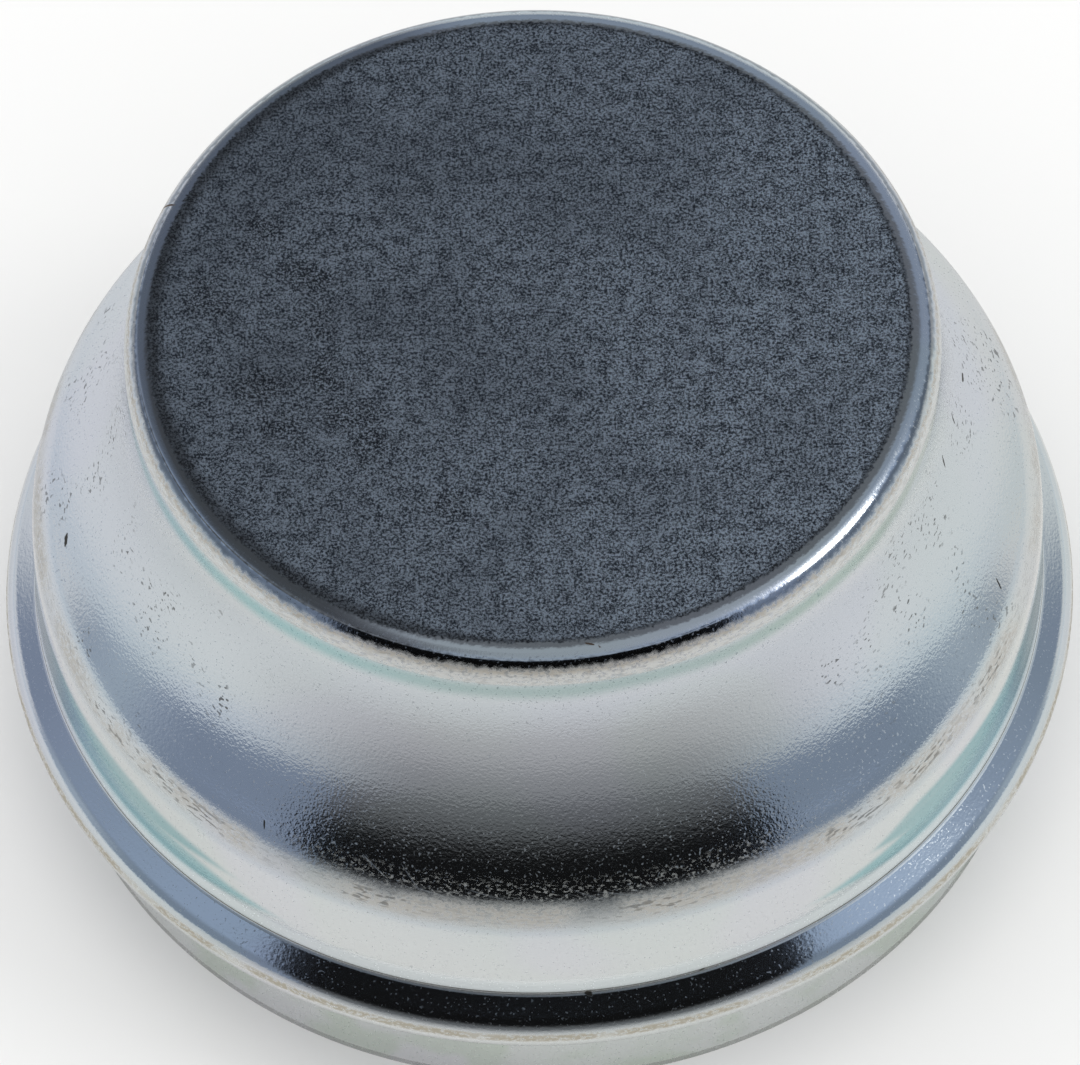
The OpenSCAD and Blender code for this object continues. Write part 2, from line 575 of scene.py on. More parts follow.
def plate_tone(finish):
    """Group: the clean plate with faint drifting tints of its thin film."""
    tree, given, out = new_tree("Plate Tone", "ShaderNodeTree", [
        ("Place", "NodeSocketVector", None), ("Turn", "NodeSocketFloat", 0.0),
        ("Run", "NodeSocketFloat", 0.0), ("Shade To", "NodeSocketFloat", 19.3),
    ], [("Color", "NodeSocketColor")])
    put = given.outputs
    drift = noise(tree, put["Place"], scale=0.085, detail=0.5)
    tone = blend(tree, ease(tree, drift, 0.42, 0.60), finish.plate, SEA_TINT)
    elsewhere = vector(tree, "ADD", put["Place"], (31.0, 17.0, 5.0))
    violet = ease(tree, noise(tree, elsewhere, scale=0.11, detail=0.0), 0.48, 0.62)
    tone = blend(tree, sums(tree, "MULTIPLY", violet, 0.7), tone, VIOLET_TINT)
    lilac = sums(tree, "MULTIPLY", window(tree, put["Turn"], *LILAC_SIDE), 0.5)
    tone = blend(tree, lilac, tone, LILAC_TINT)
    past = sums(tree, "SUBTRACT", put["Run"], put["Shade To"])
    shade = sums(tree, "MULTIPLY", ease(tree, past, -0.12, 0.05, 0.62, 0.0),
                 window(tree, put["Turn"], *BAND_SHADED))
    wire(tree, blend(tree, shade, tone, finish.pits_and_shade), out.inputs[0])
    return tree


def bend_lumps():
    """Group: the small lumps of the bright sheet where it is bent hardest."""
    tree, given, out = new_tree("Bend Lumps", "ShaderNodeTree", [
        ("Place", "NodeSocketVector", None), ("Run", "NodeSocketFloat", 0.0),
        ("From", "NodeSocketFloat", 0.0), ("To", "NodeSocketFloat", 1.0),
    ], [("Height", "NodeSocketFloat")])
    put = given.outputs
    coarse = noise(tree, put["Place"], scale=3.4, detail=0.0)
    fine = sums(tree, "MULTIPLY", noise(tree, put["Place"], scale=9.0, detail=0.0), 0.45)
    lumps = sums(tree, "SUBTRACT", sums(tree, "ADD", coarse, fine), 0.725)
    full_from = sums(tree, "ADD", put["From"], LUMPS_RISE)
    full_to = sums(tree, "SUBTRACT", put["To"], LUMPS_RISE)
    rise = ease(tree, put["Run"], put["From"], full_from, kind="LINEAR")
    fall = ease(tree, put["Run"], full_to, put["To"], 1.0, 0.0, kind="LINEAR")
    wire(tree, sums(tree, "MULTIPLY", sums(tree, "MULTIPLY", lumps, LUMPS_HEIGHT),
                    sums(tree, "MULTIPLY", rise, fall)), out.inputs[0])
    return tree


def placed(tree, group, **inputs):
    """Adds a copy of a shader group; underscores stand for spaces in input names."""
    node = tree.nodes.new("ShaderNodeGroup")
    node.node_tree = group
    for name, value in inputs.items():
        wire(tree, value, node.inputs[name.replace("_", " ")])
    return node.outputs[0]


def nearest_mark(tree, unrolled, outer, entries):
    """How far the nearest of some slanted oval marks is, where 1 is its edge."""
    nearest = None
    for turn, run, slant, length, width in entries:
        radius = next(x for x, _, at in outer if at / MM >= run) / MM
        c, s = math.cos(math.radians(slant)), math.sin(math.radians(slant))
        round_scale = radius / UNROLLED_R
        centre = (math.radians(turn) * UNROLLED_R, run, 0.0)
        off = vector(tree, "SUBTRACT", unrolled, centre)
        along = vector(tree, "DOT_PRODUCT", off,
                       (c * round_scale / length, s / length, 0.0))
        across = vector(tree, "DOT_PRODUCT", off,
                        (-s * round_scale / width, c / width, 0.0))
        square = sums(tree, "MULTIPLY_ADD", along, along,
                      sums(tree, "MULTIPLY", across, across))
        nearest = square if nearest is None else sums(tree, "MINIMUM", nearest, square)
    return sums(tree, "SQRT", nearest)


# Single marks: turn in degrees from the front, run from the axis in mm, slant in degrees
# from the way round, and half length and half width in mm
DARK_MARKS = (
    (-81.2, 32.3, 20, 0.38, 0.14), (86.0, 26.3, 107, 0.3, 0.09),
    (77.5, 25.5, 103, 0.4, 0.09), (71.4, 32.6, 120, 0.3, 0.06),
    (96.5, 28.4, 20, 0.4, 0.12), (-34.2, 33.1, 67, 0.26, 0.05),
    (4.1, 40.98, 30, 0.26, 0.15), (16.9, 40.85, -14, 0.2, 0.07),
)
LIGHT_SCRATCHES = (
    (-15.5, 33.2, 45, 1.0, 0.035), (-12.0, 33.7, 8, 1.6, 0.05),
    (4.5, 33.45, 24, 1.1, 0.035), (-7.0, 33.4, 12, 1.2, 0.04),
    (9.0, 33.7, 14, 1.8, 0.045), (-20.0, 33.0, 30, 0.9, 0.035),
)
CORNER_TICKS = ((8.7, 18.95, 66, 0.40, 0.075), (7.0, 18.5, 20, 0.24, 0.06))
NECK_TICKS = ((-114.2, 19.4, -90, 0.58, 0.07),)

# Middles of patches of small marks: turn in degrees and run in mm
DASH_PATCHES = ((57.4, 27.4), (57.6, 28.8), (48.1, 27.0), (42.2, 26.8), (69.6, 26.9),
                (-60.0, 26.6), (-88.0, 27.2), (-46.0, 28.6), (-72.0, 28.0))
SHOULDER_PATCHES = ((-42.5, 34.6), (-50.0, 34.7), (-58.5, 34.75), (36.4, 34.6),
                    (47.4, 34.2), (61.0, 33.8), (13.0, 34.9), (-20.0, 34.5))
END_SMUDGES = ((-105.7, 11.6), (-107.0, 10.1), (-93.9, 10.1), (-76.2, 10.3),
               (-61.3, 10.2), (-48.1, 9.9), (-114.4, 14.3), (-96.0, 15.3),
               (-75.6, 13.2), (-65.6, 12.9), (-19.7, 11.5))
# Painted glints on the closed end
END_GLINTS = ((98.6, 16.5), (178.5, 15.0), (74.2, 7.6), (139.3, 12.9))


class Finish:
    """A material under way: its node tree and the places that its patterns read."""

    def __init__(self, name):
        self.material = bpy.data.materials.new(name)
        self.material.use_nodes = True
        tree = self.tree = self.material.node_tree
        tree.nodes.clear()
        spot = tree.nodes.new("ShaderNodeTexCoord").outputs["Object"]
        parts = add(tree, "ShaderNodeSeparateXYZ", spot).outputs
        self.right, self.back = parts["X"], parts["Y"]
        self.turn = turn_about(tree, parts)
        self.run = named(tree, "ShaderNodeAttribute", {},
                         attribute_name="run").outputs["Fac"]
        self.in_mm = vector(tree, "MULTIPLY", spot, (1 / MM, 1 / MM, 1 / MM))
        around = sums(tree, "MULTIPLY", self.turn, math.radians(UNROLLED_R))
        self.sheet = add(tree, "ShaderNodeCombineXYZ", around, self.run, 0.0).outputs[0]

    def unrolled(self):
        """Place in mm round an even radius and along the run, with no seam."""
        tree = self.tree
        flat = vector(tree, "MULTIPLY", self.in_mm, (1.0, 1.0, 0.0))
        rim = scaled(tree, vector(tree, "NORMALIZE", flat), UNROLLED_R)
        upright = add(tree, "ShaderNodeCombineXYZ", 0.0, 0.0, self.run).outputs[0]
        return vector(tree, "ADD", rim, upright)

    def near(self, low, high, soft):
        """One between two runs in mm."""
        return window(self.tree, self.run, low, high, soft)

    def past(self, mark, stretch, soft):
        """One over a stretch of the run in mm past a mark."""
        return self.near(mark + stretch[0], mark + stretch[1], soft)

    def turned(self, low, high, soft):
        """One between two turns in degrees."""
        return window(self.tree, self.turn, low, high, soft)

    def times(self, first, *others):
        """The product of some values."""
        for other in others:
            first = sums(self.tree, "MULTIPLY", first, other)
        return first

    def most(self, first, *others):
        """The largest of some values."""
        for other in others:
            first = sums(self.tree, "MAXIMUM", first, other)
        return first

    def marks(self, outer, entries, ragged):
        """Slanted oval marks with a ragged edge."""
        far = nearest_mark(self.tree, self.sheet, outer, entries)
        return ease(self.tree, sums(self.tree, "ADD", far, ragged), 0.7, 1.1, 1.0, 0.0)

    def patches(self, outer, entries, radius, ragged, low=0.3, high=1.2):
        """Round soft patches of one radius in mm, on the sheet's outer face."""
        nearest = None
        for turn, run in entries:
            x, z, _ = next(point for point in outer if point[2] / MM >= run)
            a = math.radians(turn)
            centre = (x / MM * math.sin(a), -x / MM * math.cos(a), z / MM)
            far = vector(self.tree, "DISTANCE", self.in_mm, centre)
            nearest = far if nearest is None else sums(
                self.tree, "MINIMUM", nearest, far)
        far = sums(self.tree, "MULTIPLY_ADD", nearest, 1.0 / radius, ragged)
        return ease(self.tree, far, low, high, 1.0, 0.0)

    def ragged(self, scale, reach):
        """Noise that moves an edge to and fro by about a reach."""
        rough = noise(self.tree, self.in_mm, scale=scale, detail=0.5)
        return self.times(sums(self.tree, "SUBTRACT", rough, 0.5), reach)

    def paint(self, factor, under, colour):
        """Lays a colour on the tone under it, where a factor says."""
        return blend(self.tree, factor, under, colour)

    def finished(self, tone, rough, height, metal=1.0):
        """Ends the material in a metal with these values."""
        tree = self.tree
        bump = named(tree, "ShaderNodeBump", {"Strength": 1.0, "Distance": MM,
                                             "Height": height})
        shader = named(tree, "ShaderNodeBsdfPrincipled", {
            "Base Color": tone, "Metallic": metal, "Roughness": rough,
            "Normal": bump.outputs[0]})
        out = tree.nodes.new("ShaderNodeOutputMaterial")
        wire(tree, shader.outputs[0], out.inputs[0])
        return self.material


def dull_end(finish, outer, edge, groups):
    """The closed end: dull dark grain that stops, ragged, on the bright corner."""
    skin = Finish("dull_end")
    tree, times, run = skin.tree, skin.times, skin.run
    left = skin.turned(*DULL_REACHES_OUT)
    fray = skin.ragged(scale=6.0, reach=0.35)
    limit = sums(tree, "ADD", times(left, 0.30), edge["end"] + 0.27)
    inward = sums(tree, "SUBTRACT", limit, sums(tree, "ADD", run, fray))
    on_end = ease(tree, inward, -0.05, 0.09)

    # Grain in soft clouds, with painted shade that darkens it towards the left and the back
    grit = noise(tree, skin.in_mm, scale=7.4, detail=2.0, rough=0.85)
    patchy = noise(tree, skin.in_mm, scale=1.3, detail=1.0, rough=0.6)
    mixed = sums(tree, "ADD", grit, times(sums(tree, "SUBTRACT", patchy, 0.5), 0.22))
    tone = blend(tree, ease(tree, mixed, 0.38, 0.63), finish.pits_and_shade, finish.dull_end)
    cloud = ease(tree, noise(tree, skin.in_mm, scale=0.16, detail=1.0, rough=0.6), 0.42, 0.64)
    aslant = sums(tree, "MULTIPLY_ADD", skin.back, 0.4, times(skin.right, -1.0))
    shade = sums(tree, "ADD", times(cloud, 0.15),
                 ease(tree, aslant, -0.016, 0.014, 0.0, 0.26))
    tone = skin.paint(shade, tone, finish.pits_and_shade)

    # Smudges, the dirty rim, painted glints, and a painted highlight along the pressed ring
    smudge = skin.patches(outer, END_SMUDGES, 1.0, skin.ragged(scale=0.8, reach=3.6),
                          low=-0.1, high=1.8)
    smudge = times(smudge, ease(tree, grit, 0.60, 0.45), 0.75)
    tone = skin.paint(smudge, tone, SMUDGE)
    rim_wide = sums(tree, "ADD", times(left, 0.5), 0.24)
    rim = ease(tree, sums(tree, "DIVIDE", inward, rim_wide), 0.35, 1.4, 1.0, 0.0)
    tone = skin.paint(times(rim, 0.66), tone, RIM_DIRT)
    light = skin.patches(outer, END_GLINTS, 0.24, times(fray, 2.0))
    tone = skin.paint(times(light, 0.5), tone, GLINT)
    ring = times(skin.near(edge["ring"] - 0.05, edge["ring"] + 0.05, 0.07),
                 skin.turned(*RING_HIGHLIT_TURNS), ease(tree, grit, 0.40, 0.52))
    tone = skin.paint(times(ring, 0.28), tone, RING_HIGHLIGHT)

    # The bright corner outside the grain, and the ticks on it
    bright = placed(tree, groups["plate"], Place=skin.in_mm, Turn=skin.turn, Run=run,
                    Shade_To=edge["end"] + BAND_END)
    tone = blend(tree, on_end, bright, tone)
    rusty = skin.marks(outer, CORNER_TICKS, times(fray, 1.5))
    tone = skin.paint(rusty, tone, finish.rust)
    rough = mix_value(tree, on_end, finish.gloss, finish.dull_rough)
    rough = mix_value(tree, rusty, rough, 0.6)
    relief = sums(tree, "SUBTRACT", noise(tree, skin.in_mm, scale=6.3, detail=0.0), 0.5)
    grain = times(relief, on_end, finish.grain)
    lumps = placed(tree, groups["lumps"], Place=skin.in_mm, Run=run,
                   From=edge["end"] + 0.05, To=edge["end"] + END_REACH)
    return skin.finished(tone, rough, sums(tree, "ADD", grain, lumps))


class Wall(Finish):
    """The drawn wall's finish under way; each layer is laid on the tone below it."""

    def __init__(self, finish, outer, edge, groups):
        super().__init__("zinc_plate")
        tree = self.tree
        self.colours, self.outer, self.edge, self.groups = finish, outer, edge, groups
        self.place = self.unrolled()
        self.aside = sums(tree, "ABSOLUTE", self.turn)
        self.fine_rag = self.ragged(scale=6.0, reach=0.9)
        frayed = sums(tree, "ADD", self.run, self.ragged(scale=3.0, reach=0.32))
        self.past_band = sums(tree, "SUBTRACT", frayed, edge["end"] + BAND_END)
        self.speckle = noise(tree, self.squeezed(around=0.7, along=1.0), scale=6.5,
                             detail=1.0, rough=0.7)
        waves = noise(tree, self.place, scale=0.16, detail=0.5)
        self.waves = sums(tree, "SUBTRACT", waves, 0.5)

    def squeezed(self, around, along):
        """Place on the sheet, squeezed, so that a pattern is drawn out."""
        return vector(self.tree, "MULTIPLY", self.place, (around, around, along))

    def plate(self):
        """Clean plate, creamy low on the flare at the right."""
        tone = placed(self.tree, self.groups["plate"], Place=self.in_mm, Turn=self.turn,
                      Run=self.run, Shade_To=self.edge["end"] + BAND_END)
        creamy = self.times(self.turned(*CREAMY_SIDE), self.near(
            self.edge["flare"] - 2.0, self.edge["shoulder"], 1.5))
        return self.paint(self.times(creamy, 0.5), tone, CREAM_TINT)

    def neck_film(self, tone):
        """A soft line of thick film in the neck, which fades out at the back."""
        tree, turn = self.tree, self.turn
        film = blend(tree, ease(tree, turn, -42.0, -4.0), self.colours.teal,
                     NECK_FILM_FRONT)
        film = blend(tree, ease(tree, turn, 20.0, 44.0), film, self.colours.green)
        film = blend(tree, ease(tree, turn, 46.0, 82.0), film, NECK_FILM_FAR_RIGHT)
        sag = self.times(self.turned(*NECK_FILM_SAGS), 0.3)
        shift = sums(tree, "SUBTRACT", self.times(self.waves, 0.6), sag)
        line = window(tree, sums(tree, "ADD", self.run, shift),
                      self.edge["corner"] + 0.1, self.edge["neck"] + 0.4, 0.5)
        fade = ease(tree, self.aside, 120.0, 168.0, 0.95, 0.0)
        return blend(tree, self.times(line, fade), tone, film)

    def wall_film(self, tone):
        """Tongues of thick film low on the wall at both sides."""
        tree, foot = self.tree, self.edge["wall"]
        wavy = sums(tree, "ADD", self.run, self.times(self.waves, 0.8))
        tongues = self.most(*(
            placed(tree, self.groups["band"], Turn=self.turn, Run=wavy, Turn_From=tip,
                   Turn_Full=full, Run_At=foot - up, Half_Width=half, Soft=0.35)
            for tip, full, up, half in FILM_TONGUES))
        streaks = noise(tree, self.squeezed(around=0.05, along=0.9), scale=1.0, detail=1.0)
        tongues = self.times(tongues, ease(tree, streaks, 0.36, 0.60, 0.78, 1.0),
                             ease(tree, self.aside, 100.0, 138.0, 1.0, 0.0))
        film = blend(tree, ease(tree, self.aside, 50.0, 63.0), WALL_FILM_FRONT,
                     WALL_FILM_SIDE)
        lower = ease(tree, self.run, foot - UPPER_TONGUE, foot - LOWER_TONGUE)
        film = blend(tree, lower, film, WALL_FILM_FOOT)
        film = blend(tree, window(tree, self.aside, *FILM_AT_EDGES), film,
                     WALL_FILM_EDGE)
        return blend(tree, tongues, tone, film)

    def stains(self, tone):
        """Pale green stains on the skirt."""
        cloud = noise(self.tree, self.in_mm, scale=0.35, detail=1.0)
        skirt = self.near(self.edge["foot"] + 0.6, self.edge["skirt"], 0.8)
        stain = self.times(skirt, ease(self.tree, cloud, 0.40, 0.62), 0.45)
        return self.paint(stain, tone, SKIRT_STAIN)

    def scuffs(self, tone):
        """Scuffed bends: under the corner, over the shoulder and round the bead, with a line
        of painted shade in the groove under the corner's band.
        """
        tree, edge, times = self.tree, self.edge, self.times
        patchy = noise(tree, self.place, scale=0.28, detail=1.0)
        over_neck = ease(tree, self.run, edge["corner"] - 0.02, edge["corner"] + 0.12,
                         1.0, 0.0)
        self.corner = times(ease(tree, self.past_band, 0.30, 0.72), over_neck)
        shoulder = times(self.past(edge["flare"], SHOULDER_WORN, 0.42),
                         ease(tree, patchy, 0.36, 0.60, 0.22, 0.85))
        bead = times(self.past(edge["nose_start"], NOSE_WORN, 0.14),
                     ease(tree, patchy, 0.34, 0.5, 0.65, 1.0))
        # Painted shade in the groove under the corner's band
        groove = times(ease(tree, self.past_band, -0.02, 0.12),
                       ease(tree, self.past_band, 0.22, 0.5, 1.0, 0.0), 0.55)
        tone = self.paint(groove, tone, self.colours.pits_and_shade)
        self.scuffed = times(self.most(self.corner, shoulder, bead),
                             ease(tree, self.speckle, 0.36, 0.54, 0.45, 1.0))
        corner_tone = blend(tree, ease(tree, self.past_band, 0.45, 1.0), TAN_SCUFF,
                            PALE_SCUFF)
        scuff_tone = blend(tree, self.corner, self.colours.scuff, corner_tone)
        scuff_tone = blend(tree, bead, scuff_tone, BEAD_SCUFF)
        return blend(tree, self.scuffed, tone, scuff_tone)

    def foot_light_and_dust(self, tone):
        """Painted light on the wall's foot, a pale band with less metal over the shade under
        the bead, and dust over the shoulder in front.
        """
        edge, times = self.edge, self.times
        # Painted light on the foot of the wall
        self.foot = times(self.near(edge["wall"] - 1.0, edge["wall"] - 0.04, 0.3), 0.6)
        self.dust = times(self.near(edge["flare"] - 0.25, edge["flare"] + 1.4, 0.4),
                          self.turned(*DUST_SHOWS),
                          ease(self.tree, self.speckle, 0.50, 0.74))
        tone = self.paint(self.foot, tone, FOOT_PAINTED_LIGHT)
        return self.paint(times(self.dust, 0.3), tone, DUST)

    def scratches(self, tone):
        """Dashes down the flare and along the shoulder, single scratches and ticks, and a dark
        line in the upper crease that is partly caught dirt and partly painted shade.
        """
        tree, edge, times = self.tree, self.edge, self.times
        rag = self.ragged(scale=2.6, reach=1.4)
        here_and_there = noise(tree, self.place, scale=0.30, detail=0.0)
        sides = times(ease(tree, here_and_there, 0.54, 0.66),
                      ease(tree, self.aside, 34.0, 60.0), 0.8)
        down_at = self.most(sides, self.patches(self.outer, DASH_PATCHES, 1.2, rag))
        down = placed(tree, self.groups["dashes"], Place=self.place,
                      Stretch=(0.6, 0.6, 1.0), Scale=4.6, Cut=0.64)
        down = times(down, down_at, self.near(
            edge["neck"] + 1.8, edge["flare"] + 1.0, 0.8))
        clusters = times(self.patches(self.outer, SHOULDER_PATCHES, 2.7, rag),
                         self.past(edge["flare"], SHOULDER_SCRATCHED, 0.3))
        shoulder = self.past(edge["flare"], SHOULDER_WORN, 0.4)
        round_at = self.most(clusters, times(shoulder, 0.25), times(self.corner, 0.28))
        around = placed(tree, self.groups["dashes"], Place=self.place,
                        Stretch=(0.24, 0.24, 1.0), Scale=7.6, Cut=0.56)
        single = self.marks(self.outer, DARK_MARKS, self.fine_rag)
        # The dark line in the upper crease: partly caught dirt, partly painted shade
        crease = self.near(edge["wall"] - 0.01, edge["wall"] + 0.075, 0.02)
        self.scratch_and_shade = self.most(times(down, 0.75), times(around, round_at, 0.6), single,
                                 times(crease, 0.85))
        tone = self.paint(self.scratch_and_shade, tone, self.colours.grime_and_shade)
        self.rusty = self.marks(self.outer, NECK_TICKS, self.fine_rag)
        return self.paint(self.rusty, tone, self.colours.rust)

    def metal(self):
        """Less metal where the plate is scuffed through or dusty, and in the painted light on
        the wall's foot.
        """
        bare = self.most(self.times(self.scuffed, 0.65), self.times(self.dust, 0.22),
                         self.foot)
        return sums(self.tree, "SUBTRACT", 1.0, bare)

    def roughness(self, flare):
        """Gloss, broken by specks and fine scratches that show where it mirrors the dark."""
        tree, edge, times = self.tree, self.edge, self.times
        specks = ease(tree, noise(tree, self.in_mm, scale=8.0, detail=0.0), 0.66, 0.80)
        specks = times(specks, mix_value(
            tree, self.near(edge["shoulder"], edge["foot"], 0.5), 1.0, 0.5))
        pale = self.marks(self.outer, LIGHT_SCRATCHES, self.fine_rag)
        rim = self.near(edge["crease"] - 0.05, edge["crease"] + 0.07, 0.03)
        band_edge = ease(tree, self.past_band, 0.02, -0.14, 0.0, 1.0)
        rough = mix_value(tree, flare, self.colours.gloss, self.colours.gloss + 0.015)
        for mask, share, value in (
                (specks, 1.0, 0.5), (band_edge, 0.5, 0.34), (pale, 0.8, 0.45),
                (rim, 0.8, 0.5), (self.dust, 0.45, 0.36), (self.scuffed, 1.0, 0.46),
                (self.scratch_and_shade, 1.0, 0.5), (self.rusty, 1.0, 0.6)):
            rough = mix_value(tree, times(mask, share), rough, value)
        return rough

    def relief(self, flare):
        """Orange peel, strongest on the flare, and the small step under the corner."""
        tree, peel = self.tree, self.colours.peel
        bumps = noise(tree, self.squeezed(around=0.85, along=1.0), scale=7.0,
                      detail=1.0, rough=0.6)
        height = self.times(sums(tree, "SUBTRACT", bumps, 0.5),
                            mix_value(tree, flare, 0.35 * peel, peel))
        begin = self.edge["end"] + BAND_END
        step = self.times(ease(tree, self.run, begin, begin + 0.08), mix_value(
            tree, self.turned(*BAND_STEPPED), 0.004, 0.022))
        return sums(tree, "SUBTRACT", height, step)


def zinc_plate(finish, outer, edge, groups):
    """The bright drawn wall, with its film, its scuffed bends and its scratches."""
    wall = Wall(finish, outer, edge, groups)
    tone = wall.plate()
    tone = wall.neck_film(tone)
    tone = wall.wall_film(tone)
    tone = wall.stains(tone)
    tone = wall.scuffs(tone)
    tone = wall.foot_light_and_dust(tone)
    tone = wall.scratches(tone)
    flare = wall.near(edge["neck"] + 1.5, edge["flare"] + 0.9, 1.2)
    return wall.finished(tone, wall.roughness(flare), wall.relief(flare), wall.metal())


def plain_inside():
    """The inside: the same plate, duller and evenly grained."""
    skin = Finish("zinc_inside")
    tree, times = skin.tree, skin.times
    cloud = ease(tree, noise(tree, skin.in_mm, scale=0.2, detail=3.0, rough=0.6), 0.35, 0.65)
    tone = blend(tree, cloud, INSIDE_PLATE, INSIDE_CLOUD)
    fine = noise(tree, skin.in_mm, scale=5.0, detail=2.0, rough=0.6)
    tone = skin.paint(times(ease(tree, fine, 0.6, 0.7), 0.5), tone, INSIDE_SPECK)
    rough = ease(tree, cloud, 0.0, 1.0, 0.26, 0.36)
    return skin.finished(tone, rough, times(fine, 0.008))


class CAP_OT_sheet(bpy.types.Operator):
    """Build the cap's sheet, fine enough for its bends, and plate it"""

    bl_idname = "grease_cap.sheet"
    bl_label = "Cap Sheet"
    bl_options = {"REGISTER", "UNDO"}

    def execute(self, context):
        sizes = context.scene.cap_sizes
        finish = context.scene.cap_finish
        mesh, outer, edge = section_mesh(sizes)
        edge["ring"] = sizes.ring_r / MM
        groups = {"plate": plate_tone(finish), "lumps": bend_lumps(),
                  "dashes": short_dashes(), "band": film_band()}
        piece = grow(mesh, "cap_sheet", turned_sheet(), {
            "Divisions": sizes.turns, "Ring Radius": sizes.ring_r,
            "Ring Depth": sizes.ring_depth, "Ripple": sizes.ripple,
            "End Limit": edge["end"] + END_REACH,
            "End": dull_end(finish, outer, edge, groups),
            "Wall": zinc_plate(finish, outer, edge, groups),
            "Inside": plain_inside()})
        if len(piece.data.polygons) < LEAST_FACES:
            raise RuntimeError("the cap's sheet wasn't made")
        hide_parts("grease_cap")
        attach(piece, "root")
        return {"FINISHED"}


# The stage

# The room that the plate mirrors, as colours between heights over the horizon and turns
# from the front, in degrees
ROOM_LOW = (0.20, 0.245, 0.325)
ROOM_HIGH = (0.29, 0.36, 0.50)
ROOM_TOP = (0.30, 0.34, 0.385)
ROOM_SIDES = (0.345, 0.405, 0.49)
ROOM_FAR_SIDES = (0.23, 0.275, 0.355)
ROOM_PALE_BACK = (0.63, 0.655, 0.68)
ROOM_FRONT_LOW = (0.125, 0.13, 0.14)
ROOM_FRONT_HIGH = (0.006, 0.006, 0.0065)
ROOM_DIM = (0.125, 0.136, 0.155)
ROOM_BLUE = (0.375, 0.46, 0.63)
# Patches of one colour: colour, turns, their softness, heights, their softness
BLUE_PATCH = (ROOM_BLUE, (56.0, 84.0), 10.0, (34.0, 62.0), 8.0)
DIM_PATCHES = ((ROOM_DIM, (-200.0, -34.0), 10.0, (44.0, 76.0), 6.0),
               (ROOM_DIM, (140.0, 200.0), 10.0, (44.0, 76.0), 6.0))

# What the plate mirrors of the floor: close by, round about and far off, then in front; the
# lighter floor close by is painted light and the darker floor in front is painted shadow
FLOOR_CLOSE = (0.70, 0.69, 0.68)
FLOOR_ROUND = (0.55, 0.565, 0.585)
FLOOR_FAR = (0.44, 0.485, 0.53)
AHEAD_CLOSE = (0.37, 0.37, 0.38)
AHEAD_ROUND = (0.195, 0.20, 0.21)
AHEAD_FAR = (0.125, 0.13, 0.14)
AHEAD = (-46.0, 46.0, 25.0)

DOME_LIGHT = 1.2
BACKDROP = (0.93, 0.935, 0.94)
FLOOR_REACH = 4.0
FLOOR_SIDES = 96

# The photograph's frame, and its focal length and optical centre in pixels, from the
# camera that was fitted to the cap's rings
PHOTO_W, PHOTO_H = 1080, 1065
FOCAL_PX = 7091.5
CENTRE_X, CENTRE_Y = 538.59, 556.2
SENSOR_W = 36.0
# Height of the point that the camera looks at
AIM_HEIGHT = 8.86 * MM


def surround(world):
    """Soft studio surround: a pale dome for light, and a room for the plate to mirror."""
    world.use_nodes = True
    tree = world.node_tree
    tree.nodes.clear()
    way = tree.nodes.new("ShaderNodeTexCoord").outputs["Generated"]
    parts = add(tree, "ShaderNodeSeparateXYZ", way).outputs
    turn = turn_about(tree, parts)
    aside = sums(tree, "ABSOLUTE", turn)
    height = sums(tree, "DEGREES", sums(tree, "ARCSINE", parts["Z"]))

    def both(first, second):
        return sums(tree, "MULTIPLY", first, second)

    def patch(under, shade, turns, turn_soft, heights, height_soft):
        shape = both(window(tree, turn, *turns, turn_soft),
                     window(tree, height, *heights, height_soft))
        return blend(tree, shape, under, shade)

    colour = blend(tree, ease(tree, height, 18.0, 38.0), ROOM_LOW, ROOM_HIGH)
    sides = both(window(tree, aside, 82.0, 100.0, 10.0),
                 ease(tree, height, 12.0, 28.0, 1.0, 0.0))
    colour = blend(tree, sides, colour, ROOM_SIDES)
    colour = patch(colour, *BLUE_PATCH)
    far_sides = both(ease(tree, aside, 100.0, 118.0), ease(tree, height, 14.0, 24.0))
    colour = blend(tree, far_sides, colour, ROOM_FAR_SIDES)
    colour = blend(tree, ease(tree, height, 50.0, 70.0), colour, ROOM_TOP)
    pale_back = both(ease(tree, aside, 97.0, 110.0),
                     ease(tree, height, 6.0, 15.0, 1.0, 0.0))
    colour = blend(tree, pale_back, colour, ROOM_PALE_BACK)
    for dim in DIM_PATCHES:
        colour = patch(colour, *dim)
    # The dark in front grows a little wider with its height, and blacker
    off = sums(tree, "ABSOLUTE", sums(tree, "ADD", turn, 1.65))
    off = sums(tree, "SUBTRACT", off, sums(tree, "MULTIPLY", height, 0.29))
    in_front = both(ease(tree, off, 38.0, 42.5, 1.0, 0.0),
                    ease(tree, height, 51.5, 59.0, 1.0, 0.0))
    dark = blend(tree, ease(tree, height, 3.0, 20.5), ROOM_FRONT_LOW, ROOM_FRONT_HIGH)
    colour = blend(tree, in_front, colour, dark)

    path = tree.nodes.new("ShaderNodeLightPath").outputs
    room = add(tree, "ShaderNodeBackground", colour, 1.0)
    dome = add(tree, "ShaderNodeBackground", (1.0, 1.0, 1.0, 1.0), DOME_LIGHT)
    backdrop = add(tree, "ShaderNodeBackground", (*BACKDROP, 1.0), 1.0)
    soft = add(tree, "ShaderNodeMixShader", path["Is Glossy Ray"], dome.outputs[0],
               room.outputs[0])
    seen = add(tree, "ShaderNodeMixShader", path["Is Camera Ray"], soft.outputs[0],
               backdrop.outputs[0])
    out = tree.nodes.new("ShaderNodeOutputWorld")
    wire(tree, seen.outputs[0], out.inputs[0])
    world.cycles.sampling_method = "NONE"


